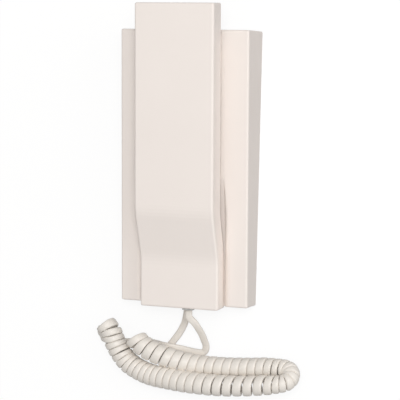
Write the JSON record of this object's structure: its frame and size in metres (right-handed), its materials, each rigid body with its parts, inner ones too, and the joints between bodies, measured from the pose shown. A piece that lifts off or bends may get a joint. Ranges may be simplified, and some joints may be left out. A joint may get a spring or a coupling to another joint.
{
  "type": "wall phone",
  "caption": "Slim ivory wall phone: a wedge-shaped wall base, a flat cranked handset that lies over it with a side key, and a flat curly cord plugged into both feet.",
  "frame": {"origin": "centre of the base's flat back face, the face that goes against the wall", "axes": "lying on its back: +X to the user's right, +Y up the wall towards the earpiece end, +Z out of the wall towards the user"},
  "size_m": [0.154, 0.2704, 0.0481],
  "materials": {
    "housing": "smooth ivory ABS with a soft sheen",
    "cord": "cream PVC sheath",
    "clear_plug": "clear polycarbonate",
    "black_part": "moulded, plain",
    "terminal": "moulded green nylon",
    "board": "green solder mask on glass-epoxy",
    "steel": "zinc plated",
    "can": "drawn can",
    "iron": "as cast",
    "rubber": "soft black rubber"
  },
  "bodies": {
    "base": {"base_back_plate": "housing", "base_cover": "housing", "cover_screw": "steel", "base_board": "board", "base_board_screws": "steel", "terminal_block": "terminal", "terminal_screws": "steel", "capacitors": "black_part", "sounder": "black_part", "hook_spring": "steel", "hook_switch": "black_part", "base_jack": "black_part", "base_plug": "clear_plug", "cord_handset_lead": "cord", "cord_coil": "cord", "cord_base_lead": "cord"},
    "hook_plunger": {"hook_plunger": "housing"},
    "switch_pin": {"hook_switch_pin": "black_part"},
    "handset": {"handset_front_shell": "housing", "handset_rear_shell": "housing", "handset_screws": "steel", "receiver": "black_part", "receiver_seal": "rubber", "microphone": "can", "microphone_grommet": "rubber", "handset_weight": "iron", "handset_board": "board", "key_switch": "black_part", "handset_jack": "black_part", "handset_plug": "clear_plug"},
    "side_key": {"side_key": "housing", "key_switch_stem": "black_part"}
  },
  "joints": [
    {"name": "handset_lift", "type": "slide", "parent": "base", "child": "handset", "axis": [0, 0, 1], "range_m": [0, 0.05]},
    {"name": "hook_lift", "type": "slide", "parent": "base", "child": "hook_plunger", "axis": [0, 0, 1], "range_m": [0, 0.005], "deforming": ["hook_spring"]},
    {"name": "switch_pin_lift", "type": "slide", "parent": "base", "child": "switch_pin", "axis": [0, 0, 1], "range_m": [0, 0.001]},
    {"name": "side_key_press", "type": "slide", "parent": "handset", "child": "side_key", "axis": [1, 0, 0], "range_m": [0, 0.0008], "stiffness_N_per_m": 400}
  ],
  "couplings": [
    {"joint": "hook_lift", "follows": "handset_lift", "ratio": 0.1},
    {"joint": "switch_pin_lift", "follows": "handset_lift", "ratio": 0.02}
  ]
}
